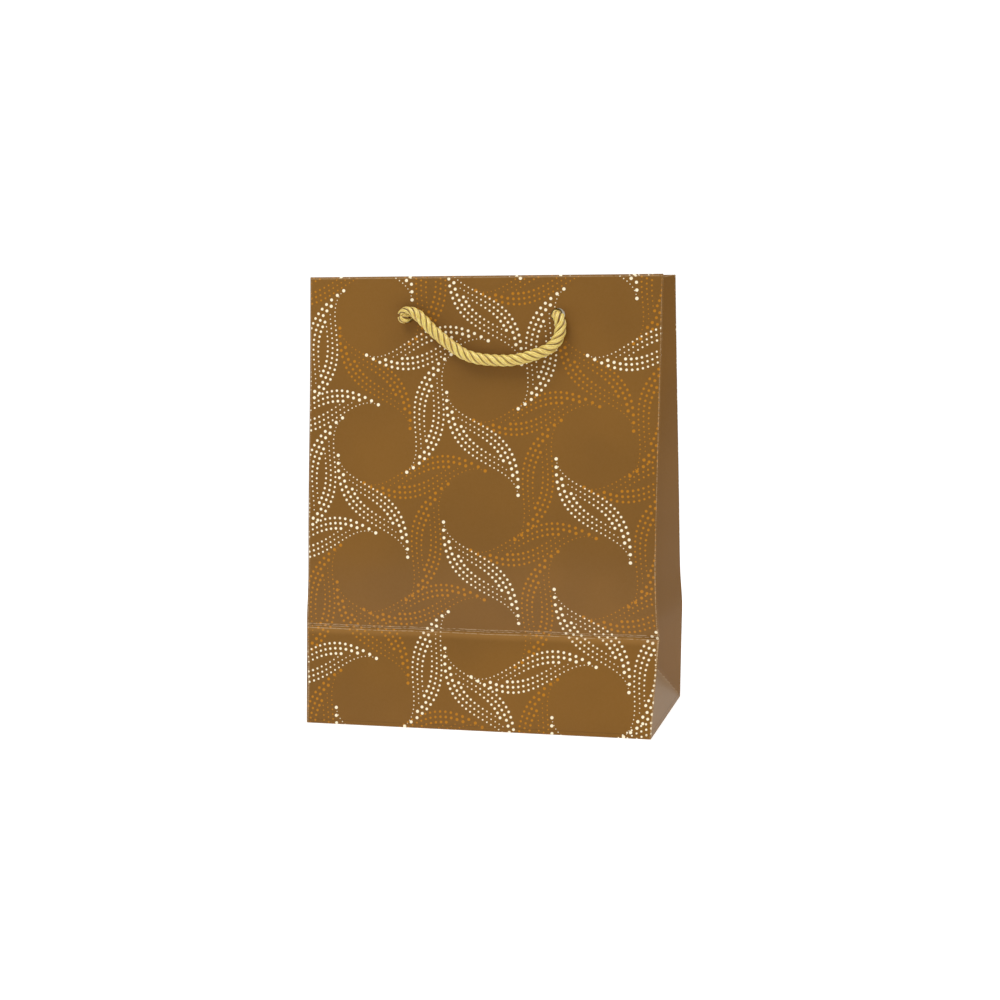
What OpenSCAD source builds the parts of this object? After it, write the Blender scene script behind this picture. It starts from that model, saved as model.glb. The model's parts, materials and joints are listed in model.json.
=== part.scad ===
// Gift bag: one sheet of laminated paper, folded and glued into a square-bottomed bag with
// side gussets, stiffened with card at its rim and base, with two twisted rope handles whose
// ends pass through punched holes and are knotted inside.
// The sheet is split at its creases, so each panel, gusset part, flap and turn-in is a node.
// Frame: origin at the middle of the base, +Z up, X along the width, the front faces -Y.
// The right gusset and the front are modelled, and the left and the back are their mirrors.

/* [Bag] */
// Width of the front panel
bag_w = 180; // [150:1:320]
// Length of the front panel along the paper, from the base to the rim
bag_h = 230; // [180:1:420]
// Depth of the bag at its base
bag_d = 100; // [80:1:160]
// Depth of the mouth, which the gussets draw in
mouth_d = 56; // [46:1:76]
// How far the fold line around the foot is pressed in
crease_dent = 9; // [3:0.5:12]
// Thickness of the laminated paper
paper_t = 0.3; // [0.2:0.05:0.5]

/* [Rim] */
// Height of the card strip inside the front and back rim
rim_board_h = 32; // [28:1:50]
// Thickness of the card strip
rim_board_t = 0.8; // [0.5:0.1:1.5]
// Gap between each end of the card strip and the gusset
rim_board_gap = 0.4; // [0.2:0.1:4]
// Height of the turned-in hem
hem_h = 40; // [36:1:60]

/* [Base] */
// Thickness of the card laid in the base
base_board_t = 1.2; // [0.8:0.1:2]
// Clearance around the base card
base_board_gap = 0.8; // [0.5:0.1:3]
// How far the front and back base flaps reach past the middle
flap_overlap = 12; // [8:1:20]
// Width of the side base flaps
side_flap_w = 42; // [30:1:60]
// How far a base flap narrows on each side towards its free edge
flap_taper = 4; // [2:1:10]
// Width of the strip that closes the sheet along one back edge
glue_flap_w = 15; // [10:1:25]

/* [Handles] */
// Diameter of the twisted rope
rope_d = 6.5; // [4:0.5:8]
// Distance of the holes below the rim, along the panel
hole_drop = 20; // [14:1:24]
// Clearance of the rope in its hole, all round
hole_gap = 0.25; // [0.1:0.05:0.6]
// Gap between the hanging rope and the panel
swing_gap = 1; // [0.3:0.1:2]
// How loosely the turns of a knot lie round the rope
knot_slack = 1.25; // [0.2:0.05:2]
// Length of the loose rope end below its knot
tail_l = 9; // [5:1:14]

/* [Hidden] */
half_w = bag_w / 2;
half_d = bag_d / 2;
rope_r = rope_d / 2;
hole_r = rope_r + hole_gap;

// The base folds flat against the front, so the fold line lies half the depth up the panel.
foot_h = half_d;
upper_h = bag_h - foot_h;
crease_y = -half_d + crease_dent;
crease_z = sqrt(foot_h * foot_h - crease_dent * crease_dent);
rim_y = -mouth_d / 2;
rim_z = crease_z + sqrt(upper_h * upper_h - pow(rim_y - crease_y, 2));
lean = atan((rim_y - crease_y) / (rim_z - crease_z));

// The foot triangle of each gusset turns in about its bottom edge until its tip meets the
// pressed-in fold line, and the valley fold runs from that tip to the rim at the sheet's length.
tip_z = foot_h * (foot_h - crease_dent) / crease_z;
tip_in = sqrt(foot_h * foot_h - tip_z * tip_z);
flat_valley_in = sqrt(half_d * half_d - rim_y * rim_y);
valley_z = tip_z + sqrt(upper_h * upper_h - pow(flat_valley_in - tip_in, 2));
valley_in = sqrt(half_d * half_d - rim_y * rim_y - pow(rim_z - valley_z, 2));

// A gusset wall's inner skin is its outer skin moved along X: by this much at the fold line
// and at the rim, where the wall stands at a sharper angle to the panel.
shift_low = paper_t / sin(atan2(-crease_y, tip_in));
shift_rim = paper_t / sin(atan2(-rim_y, valley_in));

crease_corner = [half_w, crease_y + paper_t, crease_z];
rim_corner = [half_w, rim_y + paper_t, rim_z];
foot_corner = [half_w, -half_d + paper_t, 0];
tip = [half_w - tip_in, 0, tip_z];
valley_rim = [half_w - valley_in, 0, valley_z];
// Where a gusset wall has its cross-rings, as fractions of its height. The last three also
// carry the hem, so that the two layers turn alike and stay flat on each other.
hem_from = 1 - hem_h / upper_h;
hem_levels = [hem_from, (hem_from + 1) / 2, 1];
wall_levels = concat([for (i = [0 : 5]) hem_from * i / 6], hem_levels);

// Layers of the rim behind the outer face of the panel
hem_in = paper_t + rim_board_t;
rim_in = 2 * paper_t + rim_board_t;
// Each gusset hem starts where the inner face of the front hem meets the gusset
hem_start = (paper_t + rim_board_t) / -rim_corner[1];
hem_half_w = half_w - shift_rim - hem_start * valley_in - 0.1;

// Slopes of the two walls that stand on the base, and the layers of the base
foot_slope = crease_dent / crease_z;
side_slope = tip_in / tip_z;
board_z = 3 * paper_t;
board_top = board_z + base_board_t;

// The handle's route at rest, as [across, down] from the middle between its holes. The front
// rope keeps the set of its last use, and the back one hangs even.
front_route = [
  [-38.5, 0], [-34, 1], [-29, 5], [-25, 9], [-21, 12], [-17, 15], [-12.5, 17.5],
  [-8, 20], [-3, 21.5], [3, 22.5], [10, 23], [16, 23], [21, 22.5], [26, 21],
  [30.5, 19.5], [34.5, 17.5], [37.5, 14], [38.5, 10], [38.5, 5], [38.5, 0]
];
back_route = [
  [-38.5, 0], [-38.5, 4], [-37.5, 8], [-35, 12], [-31.5, 15], [-27, 17.5], [-21.5, 19.5],
  [-15, 21], [-8, 22], [0, 22.5], [8, 22], [15, 21], [21.5, 19.5], [27, 17.5],
  [31.5, 15], [35, 12], [37.5, 8], [38.5, 4], [38.5, 0]
];
rope_sides = 10;
// The holes of a handle are where its route starts and ends.
hole_x = front_route[len(front_route) - 1][0];

$fn = 64;

paper_colour = [0.54, 0.38, 0.17];
lining_colour = [0.93, 0.91, 0.86];
card_colour = [0.72, 0.70, 0.65];
rope_colour = [0.88, 0.75, 0.33];

function lerp(a, b, f) = a + (b - a) * f;

// Y of a layer of the upper front wall at height z, that far behind its outer face
function upper_y(z, inset) = crease_y + tan(lean) * (z - crease_z) + inset;
function foot_y(z, inset) = -half_d + foot_slope * z + inset;

// Extrudes an outline drawn as [y, z] along X
module across(x0, x1) {
  translate([x0, 0, 0])
    rotate([90, 0, 90])
      linear_extrude(x1 - x0)
        children();
}

module back_side() {
  mirror([0, 1, 0])
    children();
}

module left_side() {
  mirror([1, 0, 0])
    children();
}

// Turns +Z up along the front panel and -Y out of it, at a distance below the rim
module on_front_panel(drop) {
  translate([0, rim_y - drop * sin(lean), rim_z - drop * cos(lean)])
    rotate([-lean, 0, 0])
      children();
}

module on_back_panel(drop) {
  rotate([0, 0, 180])
    on_front_panel(drop)
      children();
}

// Closed skin over a list of rings that all have as many points and turn left about the way
// from first to last. The two halves of a ring are cut by mirrored diagonals, so that the
// faces of a thin wall stay parallel.
module skin(rings) {
  count = len(rings[0]);
  last = len(rings) - 1;
  sides = [
    for (i = [0 : last - 1], j = [0 : count - 1])
      let (k = (j + 1) % count, a = i * count, b = a + count)
        each j < count / 2
          ? [[a + j, b + k, a + k], [a + j, b + j, b + k]]
          : [[a + j, b + j, a + k], [a + k, b + j, b + k]]
  ];
  low_end = [[for (j = [0 : count - 1]) j]];
  high_end = [[for (j = [count - 1 : -1 : 0]) last * count + j]];
  polyhedron([for (ring = rings) each ring], concat(sides, low_end, high_end));
}

// The two punched holes of one handle, through every layer of the front rim
module rope_holes() {
  for (side = [-1, 1])
    on_front_panel(hole_drop)
      translate([side * hole_x, 0, 0])
        rotate([90, 0, 0])
          cylinder(h = 8 * rim_in, r = hole_r, center = true);
}

// A layer of the upper wall between two depths and two heights
module upper_layer(half, in0, in1, z0, z1) {
  across(-half, half)
    polygon([
      [upper_y(z0, in0), z0], [upper_y(z0, in1), z0],
      [upper_y(z1, in1), z1], [upper_y(z1, in0), z1]
    ]);
}

module upper_panel() {
  color(paper_colour)
    difference() {
      upper_layer(half_w, 0, paper_t, crease_z, rim_z);
      rope_holes();
    }
}

module foot_panel() {
  color(paper_colour)
    across(-half_w, half_w)
      polygon([
        [foot_y(0, 0), 0], [foot_y(0, paper_t), 0],
        [foot_y(crease_z, paper_t), crease_z], [foot_y(crease_z, 0), crease_z]
      ]);
}

// One cross-ring of a gusset layer at a fraction of its height. depth counts whole layers
// inwards, and stops are places between the panel, at 0, and the valley fold, at 1.
function gusset_ring(f, depth, stops) =
  let (
    edge = lerp(crease_corner, rim_corner, f),
    valley = lerp(tip, valley_rim, f),
    shift = [lerp(shift_low, shift_rim, f), 0, 0],
    points = [for (s = stops) lerp(edge, valley, s)],
    last = len(points) - 1
  )
  concat(
    [for (i = [0 : last]) points[i] - depth * shift],
    [for (i = [last : -1 : 0]) points[i] - (depth + 1) * shift]
  );

// Front half of the right gusset above the fold line, a sheet that turns a little as it rises
module gusset_half() {
  color(paper_colour)
    skin([for (f = wall_levels) gusset_ring(f, 0, [0, hem_start, 1])]);
}

module gusset_hem_half() {
  skin([for (f = hem_levels) gusset_ring(f, 1, [hem_start, 1])]);
}

module gusset_hem() {
  color(paper_colour)
    union() {
      gusset_hem_half();
      back_side()
        gusset_hem_half();
    }
}

// A flat piece of the gusset's foot, drawn by its outer corners
module foot_piece(corners) {
  color(paper_colour)
    skin([[for (p = corners) p - [shift_low, 0, 0]], corners]);
}

module gusset_foot() {
  foot_piece([crease_corner, foot_corner, tip]);
}

module foot_triangle() {
  foot_piece([foot_corner, [foot_corner[0], -foot_corner[1], 0], tip]);
}

// Front flap of the base: its free edge is narrower than its fold
module long_flap(z) {
  fold_y = foot_y(z + paper_t, paper_t);
  fold_x = half_w - shift_low - side_slope * (z + paper_t);
  color(paper_colour)
    translate([0, 0, z])
      linear_extrude(paper_t)
        polygon([
          [-fold_x, fold_y], [fold_x, fold_y],
          [fold_x - flap_taper, flap_overlap], [-fold_x + flap_taper, flap_overlap]
        ]);
}

// Right flap of the base
module side_flap(z) {
  fold_y = foot_y(z + paper_t, paper_t);
  fold_x = half_w - shift_low - side_slope * (z + paper_t);
  color(paper_colour)
    translate([0, 0, z])
      linear_extrude(paper_t)
        polygon([
          [fold_x, fold_y], [fold_x, -fold_y],
          [fold_x - side_flap_w, -fold_y - flap_taper],
          [fold_x - side_flap_w, fold_y + flap_taper]
        ]);
}

module base_board() {
  board_x = half_w - shift_low - side_slope * board_top - base_board_gap;
  board_y = -foot_y(board_top, paper_t) - base_board_gap;
  color(card_colour)
    translate([-board_x, -board_y, board_z])
      cube([2 * board_x, 2 * board_y, base_board_t]);
}

// Strip glued inside the back panel along its left edge, from the base card to the hem
module side_glue_flap() {
  outer_x = half_w - 2 * shift_rim - 0.2;
  low_z = board_top + 1;
  high_z = rim_z - hem_h - 1;
  color(paper_colour)
    back_side()
      across(-outer_x, -outer_x + glue_flap_w)
        polygon([
          [foot_y(low_z, paper_t), low_z],
          [foot_y(low_z, 2 * paper_t), low_z],
          [foot_y(crease_z, 2 * paper_t), crease_z],
          [upper_y(high_z, 2 * paper_t), high_z],
          [upper_y(high_z, paper_t), high_z],
          [foot_y(crease_z, paper_t), crease_z]
        ]);
}

module rim_board() {
  gusset_draw_in = rim_board_t / -rim_corner[1] * valley_in;
  board_half_w = half_w - shift_rim - gusset_draw_in - rim_board_gap;
  color(card_colour)
    difference() {
      upper_layer(board_half_w, paper_t, hem_in,
                  rim_z - paper_t - rim_board_h, rim_z - paper_t);
      rope_holes();
    }
}

// Turned-in hem: folded over the top of the card strip, down its back and, past its lower
// edge, glued to the panel
module hem() {
  board_low = rim_z - paper_t - rim_board_h;
  step_low = board_low - 2 * rim_board_t;
  hem_low = rim_z - hem_h;
  color(paper_colour)
    difference() {
      across(-hem_half_w, hem_half_w)
        polygon([
          [upper_y(rim_z, paper_t), rim_z],
          [upper_y(rim_z, rim_in), rim_z],
          [upper_y(board_low, rim_in), board_low],
          [upper_y(step_low, 2 * paper_t), step_low],
          [upper_y(hem_low, 2 * paper_t), hem_low],
          [upper_y(hem_low, paper_t), hem_low],
          [upper_y(step_low, paper_t), step_low],
          [upper_y(board_low, hem_in), board_low],
          [upper_y(rim_z - paper_t, hem_in), rim_z - paper_t],
          [upper_y(rim_z - paper_t, paper_t), rim_z - paper_t]
        ]);
      rope_holes();
    }
}

// Ring of the rope's section round a point of its route, square to the route there
function rope_ring(route, i) =
  let (
    before = route[max(i - 1, 0)],
    after = route[min(i + 1, len(route) - 1)],
    heading = atan2(after[1] - before[1], after[0] - before[0])
  )
  [
    for (j = [0 : rope_sides - 1])
      let (turn = 360 * j / rope_sides, side = rope_r * cos(turn))
        [
          route[i][0] - side * sin(heading),
          rope_r * sin(turn),
          -route[i][1] - side * cos(heading)
        ]
  ];

// A handle's free loop, hanging just clear of the panel. Its round ends lie on the swing axis.
module handle_loop(route) {
  color(rope_colour)
    translate([0, -rope_r - swing_gap, 0]) {
      skin([for (i = [0 : len(route) - 1]) rope_ring(route, i)]);
      for (stop = [route[0], route[len(route) - 1]])
        translate([stop[0], 0, -stop[1]])
          sphere(r = rope_r);
    }
}

// The rope's end: a stub through the hole, two turns of a knot against the hem and a loose tail
module knot(side) {
  turn_r = rope_r + knot_slack;
  first_turn = rim_in + rope_r + 0.1;
  second_turn = first_turn + 0.8 * rope_d;
  color(rope_colour)
    on_front_panel(hole_drop)
      translate([side * hole_x, 0, 0])
        rotate([-90, 0, 0]) {
          cylinder(h = second_turn, r = rope_r);
          for (depth = [first_turn, second_turn])
            translate([0, 0, depth])
              rotate_extrude()
                translate([turn_r, 0])
                  circle(r = rope_r);
          translate([0, turn_r, second_turn])
            rotate([-90, 0, 0])
              cylinder(h = rope_r + tail_l, r1 = 0.8 * rope_r, r2 = rope_r);
        }
}

upper_panel();  // front_panel
foot_panel();  // front_foot_panel
back_side() upper_panel();  // back_panel
back_side() foot_panel();  // back_foot_panel
gusset_half();  // right_gusset_front_half
back_side() gusset_half();  // right_gusset_back_half
left_side() gusset_half();  // left_gusset_front_half
left_side() back_side() gusset_half();  // left_gusset_back_half
gusset_foot();  // right_gusset_front_foot
back_side() gusset_foot();  // right_gusset_back_foot
left_side() gusset_foot();  // left_gusset_front_foot
left_side() back_side() gusset_foot();  // left_gusset_back_foot
foot_triangle();  // right_foot_triangle
left_side() foot_triangle();  // left_foot_triangle
long_flap(0);  // base_front_flap
back_side() long_flap(paper_t);  // base_back_flap
side_flap(2 * paper_t);  // base_right_flap
left_side() side_flap(2 * paper_t);  // base_left_flap
base_board();
side_glue_flap();
rim_board();  // front_rim_board
back_side() rim_board();  // back_rim_board
hem();  // front_hem
back_side() hem();  // back_hem
gusset_hem();  // right_gusset_hem
left_side() gusset_hem();  // left_gusset_hem
on_front_panel(hole_drop) handle_loop(front_route);  // front_handle_rope
on_back_panel(hole_drop) handle_loop(back_route);  // back_handle_rope
knot(-1);  // front_left_knot
knot(1);  // front_right_knot
back_side() knot(-1);  // back_left_knot
back_side() knot(1);  // back_right_knot
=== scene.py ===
# Gift bag of printed, laminated paper with two twisted rope handles: how it looks.
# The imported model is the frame, and every piece below is placed from its boxes and joints.
import json
import math

import bpy
import numpy as np
from mathutils import Matrix, Vector


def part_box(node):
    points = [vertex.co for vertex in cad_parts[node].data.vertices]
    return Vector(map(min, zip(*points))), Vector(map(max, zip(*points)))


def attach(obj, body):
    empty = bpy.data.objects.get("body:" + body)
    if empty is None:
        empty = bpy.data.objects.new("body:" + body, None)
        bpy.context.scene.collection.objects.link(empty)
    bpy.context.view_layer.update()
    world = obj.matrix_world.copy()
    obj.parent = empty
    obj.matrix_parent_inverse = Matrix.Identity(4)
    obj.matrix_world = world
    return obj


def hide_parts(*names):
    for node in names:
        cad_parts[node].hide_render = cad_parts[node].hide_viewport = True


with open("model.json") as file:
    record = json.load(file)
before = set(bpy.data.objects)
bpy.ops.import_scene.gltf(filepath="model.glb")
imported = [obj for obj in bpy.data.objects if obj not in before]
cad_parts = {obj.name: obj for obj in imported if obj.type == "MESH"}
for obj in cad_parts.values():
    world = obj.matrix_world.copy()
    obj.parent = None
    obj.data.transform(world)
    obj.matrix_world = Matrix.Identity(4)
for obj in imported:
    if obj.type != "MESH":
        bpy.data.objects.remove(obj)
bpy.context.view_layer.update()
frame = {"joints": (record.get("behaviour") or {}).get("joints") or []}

bpy.ops.object.select_all(action="DESELECT")
mm = 0.001

# ---- Studio -------------------------------------------------------------------------------
# The bag stands on a white floor in a white room. One soft lamp hangs high in front of the bag
# on the left and a weaker one on its right, and the room itself gives the rest of the light.
camera_place = Vector((227, -928, 220)) * mm
camera_turn = math.radians(13.65)
camera_tip = math.radians(6.46)
camera_roll = math.radians(-0.45)
bpy.ops.object.camera_add()
camera = bpy.context.object
camera.matrix_world = (
    Matrix.Translation(camera_place)
    @ Matrix.Rotation(camera_turn, 4, "Z")
    @ Matrix.Rotation(math.pi / 2 - camera_tip, 4, "X")
    @ Matrix.Rotation(camera_roll, 4, "Z")
)
camera.data.sensor_width = 36
camera.data.lens = 65.9
camera.data.clip_start = 0.01
bpy.context.scene.camera = camera
bpy.context.scene.view_settings.view_transform = "Standard"


class Wire:
    """One socket among a material's nodes. Sums of wires and numbers add Math nodes."""

    def __init__(self, tree, socket=None):
        self.tree = tree
        self.socket = socket

    def node(self, kind, sockets, output=0, **settings):
        """Adds any node: its settings are set first, then its sockets' values or wires."""
        made = self.tree.nodes.new("ShaderNode" + kind)
        for name, value in settings.items():
            setattr(made, name, value)
        for name, value in sockets.items():
            if isinstance(value, Wire):
                self.tree.links.new(value.socket, made.inputs[name])
            else:
                made.inputs[name].default_value = value
        return Wire(self.tree, made.outputs[output] if made.outputs else None)

    def math(self, operation, *values):
        return self.node("Math", dict(enumerate(values)), operation=operation)

    def __add__(self, other):
        return self.math("ADD", self, other)

    def __sub__(self, other):
        return self.math("SUBTRACT", self, other)

    def __rsub__(self, other):
        return self.math("SUBTRACT", other, self)

    def __mul__(self, other):
        return self.math("MULTIPLY", self, other)

    def __truediv__(self, other):
        return self.math("DIVIDE", self, other)

    __radd__ = __add__
    __rmul__ = __mul__

    def rounded(self):
        return self.math("ROUND", self)

    def size(self):
        return self.math("ABSOLUTE", self)

    def cosine(self):
        return self.math("COSINE", self)

    def root(self):
        return self.math("SQRT", self)

    def fraction(self):
        return self.math("FRACT", self)

    def below(self, limit):
        return self.math("LESS_THAN", self, limit)

    def at_least(self, limit):
        return self.math("MAXIMUM", self, limit)

    def at_most(self, limit):
        return self.math("MINIMUM", self, limit)

    def fade(self, start, end):
        """0 up to start and 1 from end, with a smooth rise between them."""
        ends = {0: self, 1: min(start, end), 2: max(start, end)}
        ends.update({3: 0.0, 4: 1.0} if start < end else {3: 1.0, 4: 0.0})
        return self.node("MapRange", ends, interpolation_type="SMOOTHSTEP")


def colour(red, green, blue):
    """A screen colour of 0 to 255 as the shader's linear numbers."""
    linear = [((c / 255 + 0.055) / 1.055) ** 2.4 for c in (red, green, blue)]
    return (*linear, 1.0)


def tint(amount, below, above):
    """The colour below, turning to the colour above as amount goes from 0 to 1."""
    return amount.node("Mix", {0: amount, 6: below, 7: above}, output=2, data_type="RGBA")


def noise(wire, place, scale, detail=2.0, roughness=0.5):
    sockets = {"Vector": place, "Scale": scale, "Detail": detail, "Roughness": roughness}
    return wire.node("TexNoise", sockets)


def new_finish(name):
    """A new material and its wire, from which its nodes are added."""
    finish = bpy.data.materials.new(name)
    finish.use_nodes = True
    finish.node_tree.nodes.clear()
    return finish, Wire(finish.node_tree)


def surface(wire, sockets, **settings):
    """Gives a material its shader, from the Principled shader's sockets."""
    shader = wire.node("BsdfPrincipled", sockets, **settings)
    wire.node("OutputMaterial", {"Surface": shader})


floor_finish, wire = new_finish("studio_floor")
place = wire.node("TexCoord", {}, output=3)
mottle = noise(wire, place, 3.0)
surface(wire, {
    "Base Color": tint(mottle, (0.9, 0.9, 0.9, 1), (0.93, 0.93, 0.93, 1)),
    "Roughness": 0.9,
    "Specular IOR Level": 0.1,
    "Emission Color": (1, 1, 1, 1),
    "Emission Strength": 0.55,
})
bpy.ops.mesh.primitive_circle_add(vertices=96, radius=1.1, fill_type="NGON",
                                  location=(0, 0, -0.3 * mm))
floor = bpy.context.object
floor.name = "studio_floor"
floor.data.materials.append(floor_finish)
bpy.ops.object.select_all(action="DESELECT")

world = bpy.data.worlds.new("white_room")
bpy.context.scene.world = world
world.use_nodes = True
world.node_tree.nodes.clear()
room = Wire(world.node_tree)
seen = room.node("LightPath", {}, output=0)
strength = 0.46 + seen * 0.64
light = room.node("Background", {"Color": (1, 1, 1, 1), "Strength": strength})
room.node("OutputWorld", {"Surface": light})

lamp_far = 1.0
lamp_aim = Vector((-20 * mm, 0, 170 * mm))
for name, turn, height, energy in (("soft_lamp", -34, 58, 5.2), ("side_lamp", 75, 64, 3.4)):
    turn, height = math.radians(turn), math.radians(height)
    lamp_way = Vector((math.sin(turn) * math.cos(height), -math.cos(turn) * math.cos(height),
                       math.sin(height)))
    bpy.ops.object.light_add(type="AREA", location=lamp_aim + lamp_way * lamp_far)
    lamp = bpy.context.object
    lamp.name = name
    lamp.rotation_euler = lamp_way.to_track_quat("Z", "Y").to_euler()
    lamp.data.shape = "DISK"
    lamp.data.size = 0.6
    lamp.data.energy = energy
bpy.ops.object.select_all(action="DESELECT")

# ---- Rope handles -------------------------------------------------------------------------
# Each handle is one twisted cord of four satin strands, laid right-handed. It comes out of a
# punched hole, hangs in front of the panel and goes back in at the other hole. The front one
# still curls at its left end, as it was last bent, and the back one hangs even.
swing = {j["name"]: j for j in frame["joints"]}
rope_d = 6.5 * mm
rope_r = rope_d / 2
rope_gap = 1.0 * mm
rope_lay = 17 * mm
strands = 4
rope_step = 0.5 * mm
strand_sides = 16
strand_r = 0.385 * rope_r
strand_out = 0.535 * rope_r
panel_low, panel_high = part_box("front_panel")
paper_t = 0.3 * mm
crease_y, crease_z = panel_low.y, panel_low.z
rim_y, rim_z = panel_high.y - paper_t, panel_high.z
lean = math.atan((rim_y - crease_y) / (rim_z - crease_z))
front_axis = Vector(swing["front_handle_swing"]["pos_m"])
out = Vector((0, -math.cos(lean), math.sin(lean)))
up = Vector((0, math.sin(lean), math.cos(lean)))
standoff = rope_r + rope_gap
hole_centre = front_axis - out * standoff

# Points of the hanging ropes and of their ends. The routes are millimetres across and down
# from the middle between the holes, and the ends are also millimetres out of the panel.
front_route = [
    (-38.5, 0), (-28.6, 3.4), (-24.6, 7.4), (-20.6, 10.8), (-16.6, 14), (-12.2, 17),
    (-8, 19.6), (-3, 21.4), (3, 22.4), (10, 22.8), (16, 22.8), (21, 22), (26, 20.8),
    (31, 19), (36, 16.8), (39.6, 13.2), (41.2, 9.2), (41.5, 5.6), (41.2, 3), (38.5, 0),
]
back_route = [
    (-38.5, 0), (-38.5, 4), (-37.5, 8), (-35, 12), (-31.5, 15), (-27, 17.5), (-21.5, 19.5),
    (-15, 21), (-8, 22), (0, 22.5), (8, 22), (15, 21), (21.5, 19.5), (27, 17.5),
    (31.5, 15), (35, 12), (37.5, 8), (38.5, 4), (38.5, 0),
]
curl = [(-41.4, -0.3, 4.3), (-40.2, -1.8, 4.3), (-36.8, -2.4, 4.3), (-32.8, -0.4, 4.25)]
drop_in = [(40.5, 1.5, 3.3), (39.4, 0.5, 1.6), (38.6, 0.1, 0)]
even_end = [(38.4, -1.4, 4.2), (38.2, -1.6, 2.6), (38.2, -0.6, 1.4)]
even_start = [(-a, d, o) for a, d, o in reversed(even_end)]
hole_x = front_route[-1][0]


def on_front(across, down, off):
    """A point by its millimetres across, down from the holes and out of the front panel."""
    return hole_centre + (Vector((across, 0, 0)) - up * down + out * off) * mm


def on_back(across, down, off):
    point = on_front(across, down, off)
    return Vector((-point.x, -point.y, point.z))


def smooth_line(points, step):
    """Points every step along a smooth curve through the given ones."""
    points = np.array([tuple(p) for p in points])
    ends = 2 * points[[0, -1]] - points[[1, -2]]
    around = np.vstack([ends[:1], points, ends[1:]])
    t = np.linspace(0, 1, 24, endpoint=False)[:, None]
    curve = []
    for a, b, c, d in zip(around, around[1:], around[2:], around[3:]):
        bend = (2 * a - 5 * b + 4 * c - d) * t * t + (3 * b - a - 3 * c + d) * t ** 3
        curve.append(b + ((c - a) * t + bend) / 2)
    curve = np.vstack(curve + [points[-1:]])
    along = np.append(0, np.cumsum(np.linalg.norm(np.diff(curve, axis=0), axis=1)))
    stops = np.linspace(0, along[-1], round(along[-1] / step) + 1)
    return np.column_stack([np.interp(stops, along, curve[:, i]) for i in range(3)])


def directions(line):
    heading = np.gradient(line, axis=0)
    return heading / np.linalg.norm(heading, axis=1)[:, None]


def twisted_rope(name, line, fullness, spread):
    """The strands twisted round a line. fullness and spread scale the strands' thickness and
    their distance from the middle, at each point of the line."""
    heading = directions(line)
    side = np.cross(heading[0], (0.3, 0.5, 0.8))
    sides = []
    for h in heading:
        side = side - h * (side @ h)
        side = side / np.linalg.norm(side)
        sides.append(side)
    sides = np.array(sides)
    other_sides = np.cross(heading, sides)
    far = np.arange(len(line)) * rope_step
    verts = []
    faces = []
    corners = []
    rings = len(line)
    for strand in range(strands):
        turn = 2 * math.pi * (far / rope_lay + strand / strands)
        off = np.cos(turn)[:, None] * sides + np.sin(turn)[:, None] * other_sides
        core = line + off * (strand_out * fullness * spread)[:, None]
        along = directions(core)
        outward = off - along * (off * along).sum(1)[:, None]
        outward = outward / np.linalg.norm(outward, axis=1)[:, None]
        across = np.cross(along, outward)
        first = len(verts)
        for i in range(rings):
            for j in range(strand_sides):
                angle = 2 * math.pi * j / strand_sides
                way = math.cos(angle) * outward[i] + math.sin(angle) * across[i]
                verts.append(core[i] + way * strand_r * fullness[i])
        for i in range(rings - 1):
            for j in range(strand_sides):
                k = (j + 1) % strand_sides
                a = first + i * strand_sides
                b = a + strand_sides
                faces.append((a + j, a + k, b + k, b + j))
                low = (strand + j / strand_sides) / strands
                high = (strand + (j + 1) / strand_sides) / strands
                u0, u1 = i / (rings - 1), (i + 1) / (rings - 1)
                corners += [(u0, low), (u0, high), (u1, high), (u1, low)]
        last = first + (rings - 1) * strand_sides
        for ring, u in ((range(first + strand_sides - 1, first - 1, -1), 0.0),
                        (range(last, last + strand_sides), 1.0)):
            faces.append(tuple(ring))
            corners += [(u, (strand + 0.5) / strands)] * strand_sides
    mesh = bpy.data.meshes.new(name)
    mesh.from_pydata([tuple(v) for v in verts], [], faces)
    rope = bpy.data.objects.new(name, mesh)
    bpy.context.scene.collection.objects.link(rope)
    layer = mesh.uv_layers.new(name="OFBake")
    layer.uv.foreach_set("vector", np.array(corners, np.float32).ravel())
    mesh.shade_smooth()
    return rope


rope_finish, wire = new_finish("twisted_rope")
strand_place = wire.node("UVMap", {}, uv_map="OFBake")
round_strand = wire.node("SeparateXYZ", {"Vector": strand_place}, output=1) * strands
# Painted shade: each strand is darkened where it turns in towards the rope's middle, in the
# grooves.
groove_shade = 0.5 - 0.5 * (round_strand * (2 * math.pi)).cosine()
fibres_at = wire.node("Mapping", {"Vector": strand_place, "Scale": (60, 90, 1)})
fibres = noise(wire, fibres_at, 1.6, 4.0, 0.65)
threads_at = wire.node("Mapping", {"Vector": strand_place, "Scale": (14, 30, 1)})
threads = noise(wire, threads_at, 1.5, 1.0)
yarns = 0.5 - 0.5 * ((round_strand * 7 + threads * 1.5) * (2 * math.pi)).cosine()
bright = tint(fibres.fade(0.3, 0.65), colour(222, 184, 58), colour(244, 228, 134))
shaded = tint(yarns.fade(0.45, 1.0) * 0.6, bright, colour(196, 138, 22))
# The grooves between the strands get a painted shade colour.
groove_shaded = tint(groove_shade.fade(0.1, 0.55), shaded, colour(124, 76, 4))
thread_bump = wire.node("Bump", {"Height": fibres * 0.6 - yarns, "Strength": 0.6,
                                 "Distance": 0.0003})
surface(wire, {
    "Base Color": groove_shaded,
    "Roughness": 0.24 + 0.2 * fibres,
    "Specular IOR Level": 0.7,
    "Coat Weight": 0.3 * fibres,
    "Coat Roughness": 0.2,
    "Sheen Weight": 0.25,
    "Sheen Roughness": 0.4,
    "Normal": thread_bump,
})


def hanging(route, placed):
    """The inner points of a route, where the rope hangs clear of the panel."""
    return [placed(across, down, standoff / mm) for across, down in route[1:-1]]


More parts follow.
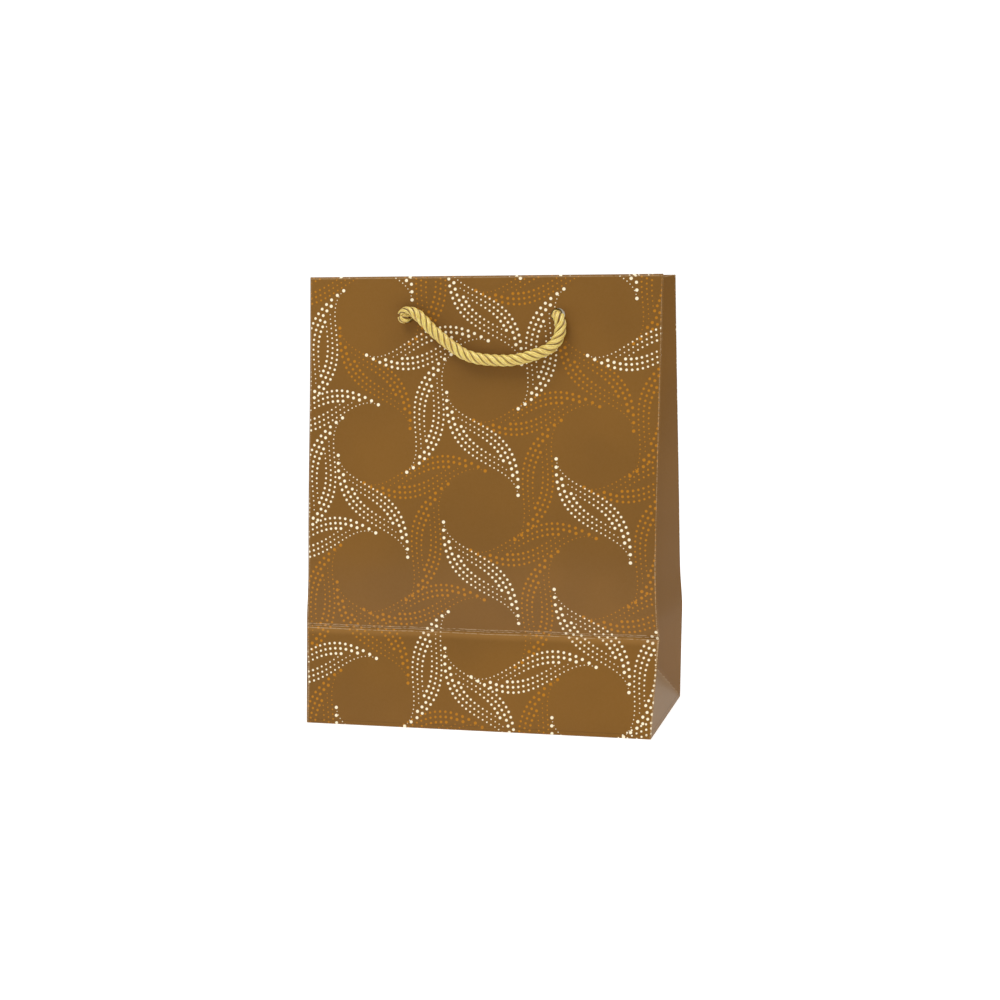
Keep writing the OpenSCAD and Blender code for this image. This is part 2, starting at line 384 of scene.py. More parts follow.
def handle(name, points, thick_from, thick_to):
    """The rope of one swinging handle. thick_from and thick_to give how full it is at
    millimetres from its start and from its end."""
    line = smooth_line(points, rope_step)
    far = np.arange(len(line)) * rope_step / mm
    back = far[::-1]
    full = np.minimum(np.interp(far, *thick_from), np.interp(back, *thick_to))
    rope = twisted_rope(name, line, full, np.ones(len(line)))
    rope.data.materials.append(rope_finish)
    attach(rope, name)
    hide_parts(name + "_rope")


front_points = ([on_front(*p) for p in curl] + hanging(front_route, on_front)
                + [on_front(*p) for p in drop_in])
front_exit = on_front(-hole_x, 0, 0)
handle("front_handle", front_points,
       ([0, 2, 6, 10], [0.5, 0.62, 0.72, 1.0]), ([0, 2, 4], [0.7, 0.9, 1.0]))
back_points = ([on_back(*p) for p in even_start] + hanging(back_route, on_back)
               + [on_back(*p) for p in even_end])
back_exit = on_back(-hole_x, 0, 0)
handle("back_handle", back_points,
       ([0, 2, 6], [0.5, 0.8, 1.0]), ([0, 2, 6], [0.5, 0.8, 1.0]))

# ---- Knots --------------------------------------------------------------------------------
# Each rope end passes through its hole and is tied in an overhand knot behind the hem, so that
# it can't pull out. The end below the knot is cut, and its strands part a little. The knots'
# sizes are in millimetres.
knot_turns = 1.6
knot_r = 4.6
knot_first, knot_last = 10.4, 4.9
knot_stops = 11


def knot_points(placed, side, start):
    """The rope from its start inwards, round itself towards the hem, and down to its end."""
    points = start + [(0, 0.1, -1.2), (0, 0, 1.5), (0, 0, 5), (0, -0.4, 9), (0.6, -2.2, 11.8)]
    for i in range(knot_stops + 1):
        share = i / knot_stops
        angle = math.radians(-90) + side * 2 * math.pi * knot_turns * share
        points.append((knot_r * math.cos(angle) * (0.4 + 0.6 * min(1, 3 * share)),
                       knot_r * math.sin(angle), knot_first + (knot_last - knot_first) * share))
    last = points[-1]
    points += [(last[0] + side * 0.5, last[1] + 4, 5.0), (last[0] + side * 0.2, last[1] + 9, 5.4),
               (last[0], last[1] + 13, 6.4)]
    return [placed(side * hole_x + a, d, -deep_in) for a, d, deep_in in points]


# The front handle's left end still has the lower half of its curl outside the hole.
curl_start = [(-3.0, 0.5, -4.2), (-2.2, 1.6, -4.0), (-0.8, 1.5, -3.2)]
straight_start = [(0, 0.2, -2.4)]
plain_start = [(0, 0.2, -3.4)]
for name, placed, side, start in (("front_left_knot", on_front, -1, curl_start),
                                  ("front_right_knot", on_front, 1, straight_start),
                                  ("back_right_knot", on_back, -1, plain_start),
                                  ("back_left_knot", on_back, 1, plain_start)):
    line = smooth_line(knot_points(placed, side, start), rope_step)
    share = np.linspace(0, 1, len(line))
    full = np.interp(share, [0, 0.03, 0.2, 0.9, 1], [0.45, 0.9, 0.78, 0.78, 0.86])
    apart = np.interp(share, [0, 0.93, 1], [1, 1, 1.7])
    knot = twisted_rope(name + "_tied", line, full, apart)
    knot.data.materials.append(rope_finish)
    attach(knot, "bag")
    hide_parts(name)

# ---- Front and back faces -----------------------------------------------------------------
# Each face is the printed side of one laminated sheet, scored and cracked where the bag folds
# flat. It is pressed in at that fold and bows out above it. The holes are punched through it.
half_w = panel_high.x
half_d = -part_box("front_foot_panel")[0].y
foot_h = half_d
upper_h = math.hypot(rim_z - crease_z, rim_y - crease_y)
sheet_h = foot_h + upper_h
board_t = 0.8 * mm
rim_in = 2 * paper_t + board_t
rim_round = rim_in / 2
belly, belly_peak = 6.5 * mm, 9.48
foot_swell = 0.9 * mm
front_dents = (7 * mm, 13 * mm)
back_dents = (2 * mm, 10 * mm)
front_flare = (1.1 * mm, 2.0 * mm)
back_flare = (0, 0)
flare_h = 85 * mm
crease_soft, crease_reach = 1.3 * mm, 9 * mm
pinch_deep, pinch_wide, pinch_high = 1.8 * mm, 7 * mm, 1.6 * mm
left_bulge, left_bulge_high = 1.3 * mm, 22 * mm
right_bulge, right_bulge_high = 1.6, 16 * mm
foot_rise, foot_tuck = 2.1, 0.5
hole_r = rope_r + 0.25 * mm
hole_drop = (rim_z - hole_centre.z) / math.cos(lean)
hole_places = [(side * hole_x * mm, sheet_h - hole_drop) for side in (-1, 1)]
face_columns = 84


def fold_point(dent):
    """Y and Z of the front fold line where it is pressed in by dent."""
    return dent - half_d, np.sqrt(foot_h ** 2 - dent ** 2)


def face_profile(s, h, dents):
    """Y and Z of the front face at s, from -1 at the left to 1, and h up the sheet."""
    dent = dents[0] + (dents[1] - dents[0]) * (s + 1) / 2
    fold_y, fold_z = fold_point(dent)
    foot = np.clip(h / foot_h, 0, 1)
    swell = foot_swell * (1 - s * s) * np.sin(math.pi * foot)
    f = np.clip((h - foot_h) / upper_h, 0, 1)
    bow = belly * (1 - 0.6 * s * s) * belly_peak * f * (1 - f) ** 3
    y = foot * dent - half_d - swell + f * (rim_y - fold_y) - bow
    return np.array([y, foot * fold_z + f * (rim_z - fold_z)])


def face_point(x, h, dents, flare):
    """Points of the front face, whose fold is a soft one, pinched at its right end. The face
    bulges out sideways at the fold's ends, and by flare towards the rim, left and right."""
    s = np.clip(x / half_w, -1, 1)
    soft = crease_soft * np.clip(1 - np.abs(h - foot_h) / crease_reach, 0, 1)
    y, z = sum(weight * face_profile(s, np.clip(h + step * soft, 0, sheet_h), dents)
               for step, weight in ((-1, 0.25), (0, 0.5), (1, 0.25)))
    from_corner = (1 - s) * half_w / pinch_wide
    pinch = np.exp(-from_corner ** 2 - ((h - foot_h) / pinch_high) ** 2)
    below_fold = foot_rise * h / foot_h - foot_tuck
    above_fold = right_bulge * np.exp((foot_h - h) / right_bulge_high)
    spread = np.clip(s, 0, 1) ** 2 * np.where(h < foot_h, below_fold, above_fold) * mm
    by_fold = np.exp(-((h - foot_h) / left_bulge_high) ** 2)
    spread -= (np.clip(-s, 0, 1) * by_fold) ** 2 * left_bulge
    spread += np.where(s < 0, *flare) * s * np.clip((h - flare_h) / (sheet_h - flare_h), 0, 1)
    return np.column_stack([x + spread, y + pinch_deep * pinch, z])


def turned_back(points):
    return points * (-1, -1, 1)


def front_face_point(x, h):
    return face_point(x, h, front_dents, front_flare)


def back_face_point(x, h):
    """x runs to the right as the back face is looked at."""
    return turned_back(face_point(x, h, back_dents, back_flare))


def read(items, name, width=1, kind=np.float32):
    """The named value of all the items of a mesh, as an array."""
    values = np.empty(len(items) * width, kind)
    items.foreach_get(name, values)
    return values.reshape(-1, width) if width > 1 else values


def write(items, name, values, kind=np.float32):
    """Gives all the items of a mesh their named values."""
    items.foreach_set(name, np.ascontiguousarray(values, kind).ravel())


outer_part = 0.8
edge_at, edge_part = 0.81, 0.02
inner_at, inner_part = 0.84, 0.15
white_within = 0.485


def paper(name, columns, rows, flat_of, folded, holes=(), thickness=paper_t):
    """A piece of the sheet, cut flat and then folded. flat_of gives the place on the flat sheet
    for shares across and up, and folded the points in the bag for places on the flat sheet.
    Slot 0 is the outer side and slot 1 the inner side."""
    bpy.ops.mesh.primitive_grid_add(x_subdivisions=columns, y_subdivisions=rows, size=1)
    sheet = bpy.context.object
    sheet.name = name
    mesh = sheet.data
    shares = read(mesh.vertices, "co", 3) + 0.5
    flat = flat_of(shares[:, 0], shares[:, 1])
    write(mesh.vertices, "co", np.column_stack([*flat, 0 * shares[:, 0]]))
    mesh.update()
    for hole in holes:
        cut_hole(sheet, np.array(hole))
    flat = read(mesh.vertices, "co", 3)[:, :2]
    corner = read(mesh.loops, "vertex_index", kind=np.int32)
    mesh.uv_layers[0].name = "OFBake"
    printed_at = mesh.uv_layers.new(name="PrintPlace")
    write(printed_at.uv, "vector", flat[corner])
    write(mesh.vertices, "co", folded(flat[:, 0].astype(float), flat[:, 1].astype(float)))
    mesh.update()
    thicken = sheet.modifiers.new("thickness", "SOLIDIFY")
    thicken.thickness = thickness
    thicken.offset = -1
    thicken.use_even_offset = True
    bpy.ops.object.modifier_apply(modifier=thicken.name)

    # The inner side is white, up to a narrow strip along the side folds. On the baked picture
    # the outer side has the left part, then the edges and the inner side.
    mesh = sheet.data
    inner = read(mesh.loops, "vertex_index", kind=np.int32) >= len(flat)
    sizes = read(mesh.polygons, "loop_total", kind=np.int32)
    owner = np.repeat(np.arange(len(sizes)), sizes)
    inner_share = np.bincount(owner, inner) / sizes
    layer = mesh.uv_layers["OFBake"].uv
    u, v = read(layer, "vector", 2).T
    off_middle = np.abs(np.bincount(owner, u) / sizes - 0.5)
    is_white = (inner_share == 1) & (off_middle < white_within)
    write(mesh.polygons, "material_index", is_white, np.int32)
    inner_share = inner_share[owner]
    on_edge = (inner_share > 0) & (inner_share < 1)
    laid_u = np.where(inner_share < 1, outer_part * u, inner_at + inner_part * u)
    laid_u = np.where(on_edge, edge_at + edge_part * inner, laid_u)
    laid_v = np.where(on_edge, (u + v) / 2, v)
    write(layer, "vector", np.column_stack([laid_u, laid_v]))
    return sheet


fine_reach = 3 * mm


def cut_hole(sheet, centre):
    """Cuts a round rope hole in a flat sheet: its grid is made finer there, the faces in the
    hole are deleted, and the edge that is left is drawn to the round."""
    def choose(reach):
        bpy.ops.object.mode_set(mode="OBJECT")
        polygons = sheet.data.polygons
        away = np.linalg.norm(read(polygons, "center", 3)[:, :2] - centre, axis=1)
        write(polygons, "select", away < reach, bool)
        bpy.ops.object.mode_set(mode="EDIT")

    bpy.ops.object.mode_set(mode="EDIT")
    bpy.ops.mesh.select_mode(type="FACE")
    choose(hole_r + fine_reach)
    bpy.ops.mesh.subdivide(number_cuts=3)
    choose(hole_r)
    bpy.ops.mesh.delete(type="FACE")
    bpy.ops.mesh.select_mode(type="VERT")
    bpy.ops.mesh.select_all(action="DESELECT")
    bpy.ops.mesh.select_non_manifold()
    bpy.ops.object.mode_set(mode="OBJECT")
    vertices = sheet.data.vertices
    points = read(vertices, "co", 3)
    way = points[:, :2] - centre
    away = np.linalg.norm(way, axis=1)
    rim = read(vertices, "select", kind=bool) & (away < hole_r + fine_reach)
    points[rim, :2] = centre + way[rim] / away[rim, None] * hole_r
    write(vertices, "co", points)


# The print is a lattice of blank rounds, with a leaf of dots across the middle of each line
# between neighbouring rounds. Three rows of dots start at each tip of a leaf: the first follows
# its edge to the other tip, and all go from big dots to small ones. Sizes are in millimetres.
round_pitch = 65.5
print_drop, print_squeeze = 1.8, 1.006
half_leaf = 31.9
leaf_turn = 53.4
leaf_columns = 26
even_part, eased_part = 0.71, 0.29
edge_curve = (-0.254, 0.320, 0.209)
row_gap = 0.0846
row_starts = (2.5, 5.5)
row_ends = (19.5, 16.5)
dot_r, dot_taper, row_taper = 0.51, 0.32, 0.11
dot_blur = 0.2


def dotted_rows(u, v):
    """The three rows of dots that start at the tip where u is -1. u and v are the place along
    and across the leaf, in half leaves."""
    share = u * 0.5 + 0.5
    column = (share * (share * eased_part + even_part) * leaf_columns).rounded()
    column = column.at_least(0).at_most(leaf_columns)
    reach = column * (4 * eased_part / leaf_columns) + even_part ** 2
    along = (reach.root() - even_part) / eased_part - 1
    start, slope, turn = edge_curve
    edge = (1 - along * along) * (along * (along * turn + slope) + start)
    last_row = (column.below(row_ends[0]) - column.below(row_starts[0])
                + column.below(row_ends[1]) - column.below(row_starts[1]))
    row = ((v - edge) / row_gap).rounded().at_least(0).at_most(last_row)
    du = u - along
    dv = v - edge - row * row_gap
    off = (du * du + dv * dv).root() * half_leaf
    dot = dot_r - along * (row * row_taper + dot_taper)
    return ((dot - off) / dot_blur + 0.5).at_least(0).at_most(1)


def leaf_print(across, down, turn, lean, cream_rule):
    """The dots of the leaves that lie at one of three turns: how much there is of cream and of
    gold at a place of the sheet, across and down in millimetres."""
    line_way = math.radians(90 + turn)
    leaf_way = math.radians(leaf_turn + turn - lean)
    x = across - round_pitch / 2 * math.cos(line_way)
    y = down - round_pitch / 2 * math.sin(line_way)
    wide = 2 * round_pitch * math.cos(math.radians(30))
    column_a = (x / wide).rounded()
    row_a = (y / round_pitch).rounded()
    column_b = (x / wide + 0.5).rounded() - 0.5
    row_b = (y / round_pitch + 0.5).rounded() - 0.5
    xa, ya = x - column_a * wide, y - row_a * round_pitch
    xb, yb = x - column_b * wide, y - row_b * round_pitch
    nearer_a = (xa * xa + ya * ya - (xb * xb + yb * yb)).below(0)
    dx = xb + nearer_a * (xa - xb)
    dy = yb + nearer_a * (ya - yb)
    column = column_b + nearer_a * (column_a - column_b)
    row = row_b + nearer_a * (row_a - row_b)
    u = (dx * math.cos(leaf_way) + dy * math.sin(leaf_way)) / half_leaf
    v = (dx * math.sin(leaf_way) - dy * math.cos(leaf_way)) / half_leaf
    printed = dotted_rows(u, v).at_least(dotted_rows(u * -1, v * -1))
    by_column, by_row, by_both, shift, share = cream_rule
    chance = column * by_column + row * by_row + column * row * by_both + shift
    cream = chance.fraction().below(share)
    return printed * cream, printed * (1 - cream)


# For each turn of the leaves: how far right and down they are, how much steeper they lie in
# degrees, and which of them are cream
leaf_classes = {
    0: (1.6, 0, 0, (0.23, 0.53, 0, 0.65, 0.7)),
    60: (2.0, 1.5, 3.4, (0.98, 0.5, 0.69, 0.88, 0.42)),
    120: (0.2, 1.0, 0, (0.36, 0.16, 0.52, 0.38, 0.3)),
}
# The cracked lines: how far above the fold each is and how wide it fades, in millimetres
crack_lines = ((1.1, 0.4), (-1.0, 0.35), (0.2, 0.25))
brown = colour(121, 81, 21)


def printed_finish(name, with_leaves):
    """The laminated outer side of the sheet, with the leaves on it or plain."""
    finish, wire = new_finish(name)
    sheet_place = wire.node("UVMap", {}, uv_map="PrintPlace")
    across = wire.node("SeparateXYZ", {"Vector": sheet_place}) / mm
    up_sheet = wire.node("SeparateXYZ", {"Vector": sheet_place}, output=1) / mm
    body_place = wire.node("TexCoord", {}, output=3)
    clouds = noise(wire, body_place, 14.0, 3.0)
    grain = noise(wire, body_place, 900.0, 2.0)
    lighter = tuple(1.08 * c for c in brown[:3]) + (1,)
    darker = tuple(0.93 * c for c in brown[:3]) + (1,)
    shown = tint(clouds.fade(0.3, 0.7), darker, lighter)
    shown = tint(grain * 0.1, shown, colour(168, 130, 84))
    if with_leaves:
        down = (sheet_h / mm / 2 - up_sheet) * print_squeeze - print_drop
        cream = 0.0
        gold = 0.0
        for turn, (right, lower, lean, rule) in leaf_classes.items():
            some_cream, some_gold = leaf_print(across - right, down - lower, turn, lean, rule)
            cream = some_cream + cream
            gold = some_gold + gold
        shown = tint(gold.at_most(1), shown, colour(180, 116, 16))
        shown = tint(cream.at_most(1), shown, colour(250, 238, 206))
    wander = noise(wire, body_place, 30.0, 3.0) - 0.5
    chips = noise(wire, wire.node("Mapping", {"Vector": body_place, "Scale": (0.35, 0.35, 1.4)}),
                  1500.0, 3.0)
    if with_leaves:
        # The lamination cracks along the scored fold, and is rubbed pale along the side folds.
        # Along the rim it is rubbed pale, with a painted highlight on its fold. Just below the
        # fold a band is painted light, where the foot faces up, and a line along the crease is
        # painted shade.
        from_fold = up_sheet - foot_h / mm + wander * 1.6
        lines = sum((from_fold - at).size().fade(wide, 0.1) for at, wide in crack_lines)
        cracks = lines * chips.fade(0.38, 0.56)
        from_side = half_w / mm - across.size()
        rubbed = (from_side + wander * 0.8).fade(1.1, 0.3) * chips.fade(0.3, 0.6)
        # Painted light: a pale band just below the fold, where the foot faces up.
        painted_light_below_fold = from_fold.fade(-5.0, -1.5) * from_fold.fade(-0.2, -0.8)
        shown = tint(painted_light_below_fold * 0.22, shown, colour(190, 140, 74))
        # Painted shade: a dark line along the crease.
        crease_shade = (from_fold - 0.5).size().fade(0.5, 0.1)
        shown = tint(crease_shade * 0.2, shown, colour(78, 48, 14))
        # Rubbed pale along the rim, together with a painted highlight on the rim's fold.
        rim_rub_and_highlight = (sheet_h / mm - up_sheet).fade(1.5, 0.8) * chips.fade(0.25, 0.5)
        wear_and_highlight = (cracks * 0.42 + rubbed * 0.5 + rim_rub_and_highlight * 0.35).at_most(1)
    else:
        # The triangle at the gusset's foot is painted paler, as painted light reflected from the
        # bright floor, and it is rubbed paler along its folds.
        from_edge = half_d / mm - (across - half_d / mm).size()
        diagonal = (from_edge - up_sheet).size() + wander * 0.6
        # Painted light: the whole triangle is tinted paler.
        triangle_painted_light = (from_edge - up_sheet).fade(-0.6, 0.6)
        shown = tint(triangle_painted_light * 0.3, shown, colour(176, 150, 116))
        wear_and_highlight = diagonal.fade(0.8, 0.2) * up_sheet.below(foot_h / mm) * chips.fade(0.3, 0.6) * 0.2
    # The wear, and on the faces the rim's painted highlight, lighten the colour together.
    shown = tint(wear_and_highlight, shown, colour(205, 178, 140))
    score = (up_sheet - 2.0).size().fade(0.3, 0.05)
    shown = tint(score * 0.35, shown, colour(92, 60, 22))
    relief = clouds * 0.3 + grain * 0.1 + wear_and_highlight * 0.5 - score * 0.5
    bump = wire.node("Bump", {"Height": relief, "Strength": 0.35, "Distance": 0.0003})
    surface(wire, {
        "Base Color": shown,
        "Roughness": 0.5 + 0.1 * grain + 0.2 * wear_and_highlight,
        "Specular IOR Level": 0.15,
        "Coat Weight": 0.22 - 0.15 * wear_and_highlight,
        "Coat Roughness": 0.22,
        "Normal": bump,
    })
    return finish


leaf_finish = printed_finish("printed_paper", True)
plain_finish = printed_finish("plain_brown_paper", False)

white_finish, wire = new_finish("white_paper_side")
place = wire.node("TexCoord", {}, output=3)
pulp = noise(wire, place, 60.0, 4.0)
fleck = noise(wire, place, 700.0, 3.0)
whites = tint(pulp.fade(0.3, 0.7), colour(236, 232, 222), colour(246, 244, 238))
surface(wire, {
    "Base Color": tint(fleck * 0.15, whites, colour(206, 198, 182)),
    "Roughness": 0.75 + 0.15 * pulp,
    "Specular IOR Level": 0.3,
    "Normal": wire.node("Bump", {"Height": fleck, "Strength": 0.2, "Distance": 0.0002}),
})

# The faces' grid has wide rows, and close ones around the fold.
face_top = sheet_h - rim_round
face_levels = np.array([2.5 * mm * i for i in range(18)]
                       + [45 * mm + 0.5 * mm * i for i in range(20)]
                       + [55 * mm + 2.5 * mm * i for i in range(70)])
face_levels = np.append(face_levels[face_levels < face_top - 1 * mm], face_top)


def chosen(levels, share):
    """The levels at shares that run evenly through them."""
    return levels[np.rint(share * (len(levels) - 1)).astype(int)]


def finished_sheet(sheet, outer, inner, sharp_from, nodes):
    """Gives a folded sheet its two finishes and its place among the bag's pieces."""
    sheet.data.materials.append(outer)
    sheet.data.materials.append(inner)
    bpy.ops.object.select_all(action="DESELECT")
    sheet.select_set(True)
    bpy.context.view_layer.objects.active = sheet
    bpy.ops.object.shade_smooth_by_angle(angle=math.radians(sharp_from))
    sheet.select_set(False)
    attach(sheet, "bag")
    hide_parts(*nodes)


def face(name, folded, nodes):
    """One printed face, from the base up to where its rim starts to turn over."""
    def flat_of(across, up_share):
        return (2 * across - 1) * half_w, chosen(face_levels, up_share)

    sheet = paper(name, face_columns, len(face_levels) - 1, flat_of, folded, hole_places)
    finished_sheet(sheet, leaf_finish, white_finish, 40, nodes)


face("front_face", front_face_point, ("front_panel", "front_foot_panel"))
face("back_face", back_face_point, ("back_panel", "back_foot_panel"))


def behind(folded_face, x, h, depth):
    """Points that far behind the outer side of a face, square to it."""
    step = 0.1 * mm
    point = folded_face(x, h)
    across = folded_face(x + step, h) - folded_face(x - step, h)
    upwards = folded_face(x, h + step) - folded_face(x, h - step)
    outwards = np.cross(across, upwards)
    outwards /= np.linalg.norm(outwards, axis=1)[:, None]
    return point - outwards * np.reshape(depth, (-1, 1))


# The left gusset goes on as a narrow flap, which closes the bag's tube where it is glued to the
# inside of the back face.
flap_from, flap_to = 74 * mm, 88.5 * mm
glue_gap = 0.02 * mm
flap_levels = face_levels[(face_levels > 3 * mm) & (face_levels < 188 * mm)]


def flap_flat_of(across, up_share):
    return flap_from + across * (flap_to - flap_from), chosen(flap_levels, up_share)


def flap_folded(x, h):
    return behind(back_face_point, x, h, paper_t + glue_gap)


glue_flap = paper("side_glue_flap_inside", 6, len(flap_levels) - 1, flap_flat_of, flap_folded)
finished_sheet(glue_flap, plain_finish, white_finish, 40, ["side_glue_flap"])

# ---- Gussets ------------------------------------------------------------------------------
# The sides of the same sheet, printed plain. Each folds inwards along a valley at its middle,
# and its foot is a triangle that leans in from the side of the base.
rows_foot = 20
rows_upper = 72
gusset_columns = 40
gusset_w = 2 * half_d
gusset_top = sheet_h - paper_t
gusset_bow = 1.6 * mm
tip_share = 0.78
hem_h = 40 * mm
over_rows, hem_rows = 10, 26


def crossed(a, b):
    """The cross product of flat vectors."""
    return a[..., 0] * b[..., 1] - a[..., 1] * b[..., 0]


def corner_mix(places, corners):
    """The flat places' points in the triangle of corners, each a (flat, solid) pair."""
    (fa, a), (fb, b), (fc, c) = [(np.array(flat), np.array(solid)) for flat, solid in corners]
    whole = crossed(fb - fa, fc - fa)
    wb = crossed(places - fa, fc - fa) / whole
    wc = crossed(fb - fa, places - fa) / whole
    return a + wb[:, None] * (b - a) + wc[:, None] * (c - a)


def turned_over(run, round_r):
    """How far inwards and below the rim the sheet is, that far along it from where it starts
    to turn over a rim of that radius."""
    angle = np.minimum(run / round_r, math.pi)
    straight = np.maximum(run - math.pi * round_r, 0)
    return round_r * (1 - np.cos(angle)), round_r * (1 - np.sin(angle)) + straight


def hem_levels(round_r):
    """How far along the sheet a hem has its rows: close ones over the rim, then wide ones."""
    half_turn = math.pi * round_r
    over = np.linspace(0, half_turn, over_rows + 1)
    down = np.linspace(half_turn, half_turn + hem_h - round_r, hem_rows - over_rows + 1)
    return np.append(over, down[1:])


def gusset(name, side):
    """side is 1 for the right gusset and -1 for the left. Along runs from front to back on
    the right, and from back to front on the left, so that the outer side faces out."""
    def edge(face_at, h):
        return face_at(np.full_like(h, side * half_w), h)

    def back_edge_point(x, h):
        return back_face_point(-x, h)

    foot_levels = np.array([0, foot_h])
    front_edge = edge(front_face_point, foot_levels)
    back_edge = edge(back_edge_point, foot_levels)
    dent = (half_d + front_edge[1, 1] + half_d - back_edge[1, 1]) / 2
    fold_z = fold_point(dent)[1]
    tip_z = foot_h * (foot_h - dent) / fold_z
    tip_in = tip_share * math.sqrt(foot_h ** 2 - tip_z ** 2)
    tip = np.array((side * (half_w - tip_in), 0, tip_z))
    flat_in = math.sqrt(half_d ** 2 - rim_y ** 2)
    valley_z = tip_z + math.sqrt(upper_h ** 2 - (flat_in - tip_in) ** 2)
    valley_in = math.sqrt(half_d ** 2 - rim_y ** 2 - (rim_z - valley_z) ** 2)
    valley_top = np.array((side * (half_w - valley_in), 0, valley_z))
    flat_tip = ((half_d, foot_h), tip)
    flat_front = ((0, 0), front_edge[0])
    flat_back = ((gusset_w, 0), back_edge[0])
    front_corner = ((0, foot_h), front_edge[1])
    back_corner = ((gusset_w, foot_h), back_edge[1])

    def folded(along, h):
        d = along if side > 0 else gusset_w - along
        flat = np.column_stack([d, h])
        foot = np.where((d < h)[:, None],
                        corner_mix(flat, (flat_front, front_corner, flat_tip)),
                        corner_mix(flat, (flat_front, flat_back, flat_tip)))
        foot = np.where((gusset_w - d < h)[:, None],
                        corner_mix(flat, (flat_back, back_corner, flat_tip)), foot)
        f = np.clip((h - foot_h) / upper_h, 0, 1)
        valley = tip + f[:, None] * (valley_top - tip)
        in_front = d < half_d
        side_fold = np.where(in_front[:, None], edge(front_face_point, h),
                             edge(back_edge_point, h))
        t = np.where(in_front, d, gusset_w - d) / half_d
        upper = side_fold + t[:, None] * (valley - side_fold)
        bow = np.sin(math.pi * t) * np.sin(math.pi * np.minimum(1, 1.4 * (1 - f)))
        upper[:, 0] += side * gusset_bow * bow
        return np.where((h <= foot_h)[:, None], foot, upper)

    levels = np.append(np.linspace(0, foot_h, rows_foot + 1),
                       np.linspace(foot_h, gusset_top, rows_upper + 1)[1:])

    def flat_of(across, up_share):
        return across * gusset_w, chosen(levels, up_share)

    sheet = paper(f"{name}_gusset", gusset_columns, rows_foot + rows_upper, flat_of, folded)
    finished_sheet(sheet, plain_finish, white_finish, 20, [
        f"{name}_gusset_front_half", f"{name}_gusset_back_half",
        f"{name}_gusset_front_foot", f"{name}_gusset_back_foot", f"{name}_foot_triangle",
    ])

    # The gusset's own hem turns in over its rim and is glued to the inside of the wall.
    layer_shift = paper_t / math.sin(math.atan2(-rim_y, valley_in))

    def hem_folded(along, run):
        inwards, below = turned_over(run, paper_t)
        points = folded(along, sheet_h - below)
        points[:, 0] -= side * layer_shift * inwards / paper_t
        return points

    def hem_flat_of(across, up_share):
        return across * gusset_w, chosen(hem_levels(paper_t), up_share)

    hem = paper(f"{name}_gusset_turn_in", gusset_columns, hem_rows, hem_flat_of, hem_folded)
    finished_sheet(hem, plain_finish, white_finish, 30, [f"{name}_gusset_hem"])


for side, name in ((1, "right"), (-1, "left")):
    gusset(name, side)

# ---- Rim ----------------------------------------------------------------------------------
# Behind each face, a strip of grey card stiffens the rim. The sheet turns in over it, runs down
# its back and is glued to the face below it. The print goes on over the rim.
board_h = 32 * mm
board_side = 2.1 * mm
board_rows = 15
board_drop = 3 * mm
hem_narrowing = 0.029

card_finish, wire = new_finish("grey_card")
place = wire.node("TexCoord", {}, output=3)
pulp = noise(wire, place, 90.0, 4.0, 0.6)
fleck_place = wire.node("Mapping", {"Vector": place, "Scale": (0.4, 1, 1)})
fleck = noise(wire, fleck_place, 1100.0, 2.0)
greys = tint(pulp.fade(0.3, 0.7), colour(168, 163, 152), colour(190, 186, 176))
surface(wire, {
    "Base Color": tint(fleck.fade(0.55, 0.75) * 0.5, greys, colour(120, 112, 98)),
    "Roughness": 0.85,
    "Specular IOR Level": 0.2,
    "Normal": wire.node("Bump", {"Height": fleck + pulp, "Strength": 0.3, "Distance": 0.0002}),
})


def rim_card(name, folded_face, node):
    """The card strip behind one face's rim."""
    def flat_of(across, up_share):
        return (2 * across - 1) * (half_w - board_side), face_top - board_h * (1 - up_share)

    def folded(x, h):
        return behind(folded_face, x, h, paper_t + glue_gap)

    thick = board_t - 2 * glue_gap
    card = paper(name, face_columns, board_rows, flat_of, folded, hole_places, thick)
    finished_sheet(card, card_finish, card_finish, 40, [node])


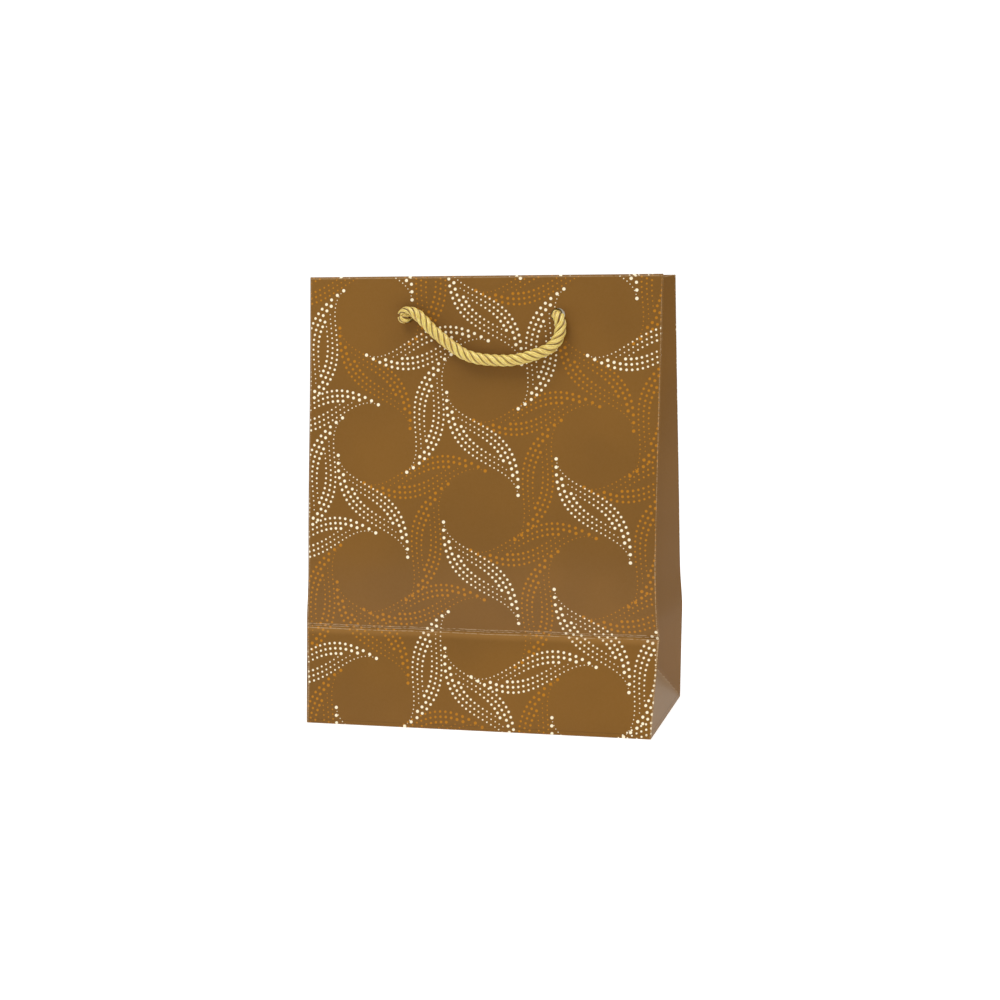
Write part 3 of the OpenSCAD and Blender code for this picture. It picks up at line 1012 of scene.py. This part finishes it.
def face_hem(name, folded_face, node):
    """The hem of one face, from where the sheet starts to turn over the rim. Below the card it
    comes back against the face."""
    def folded(x, run):
        inwards, below = turned_over(run, rim_round)
        past_board = np.clip((below - board_h - paper_t) / board_drop, 0, 1)
        inwards = inwards - board_t * past_board
        narrowed = 1 - hem_narrowing * inwards / rim_in
        return behind(folded_face, x * narrowed, sheet_h - below, inwards)

    def flat_of(across, up_share):
        return (2 * across - 1) * half_w, chosen(hem_levels(rim_round), up_share)

    holes = [(side * hole_x * mm, math.pi * rim_round + hole_drop - rim_round)
             for side in (-1, 1)]
    hem = paper(name, face_columns, hem_rows, flat_of, folded, holes)
    finished_sheet(hem, leaf_finish, white_finish, 30, [node])


for name, folded_face in (("front", front_face_point), ("back", back_face_point)):
    rim_card(f"{name}_rim_card", folded_face, f"{name}_rim_board")
    face_hem(f"{name}_turn_in", folded_face, f"{name}_hem")

# ---- Base ---------------------------------------------------------------------------------
# The base is the sheet's four bottom flaps, folded in over each other and glued, with a card
# glued on them that keeps them flat. The flaps are brown below and white above.
bpy.data.objects["base_board"].material_slots[0].material = card_finish

flap_finish, wire = new_finish("base_flap_paper")
place = wire.node("TexCoord", {}, output=3)
facing = wire.node("SeparateXYZ", {"Vector": wire.node("TexCoord", {}, output=1)}, output=2)
upper_side = facing.fade(-0.1, 0.1)
clouds = noise(wire, place, 14.0, 3.0)
grain = noise(wire, place, 700.0, 3.0)
printed = tint(clouds.fade(0.3, 0.7), colour(117, 78, 20), colour(126, 85, 23))
printed = tint(grain * 0.1, printed, colour(168, 130, 84))
plain = tint(grain * 0.2, colour(242, 239, 231), colour(206, 198, 182))
surface(wire, {
    "Base Color": tint(upper_side, printed, plain),
    "Roughness": 0.5 + 0.3 * upper_side,
    "Specular IOR Level": 0.3,
    "Normal": wire.node("Bump", {"Height": grain, "Strength": 0.2, "Distance": 0.0002}),
})
for node in ("base_front_flap", "base_back_flap", "base_right_flap", "base_left_flap"):
    bpy.data.objects[node].material_slots[0].material = flap_finish
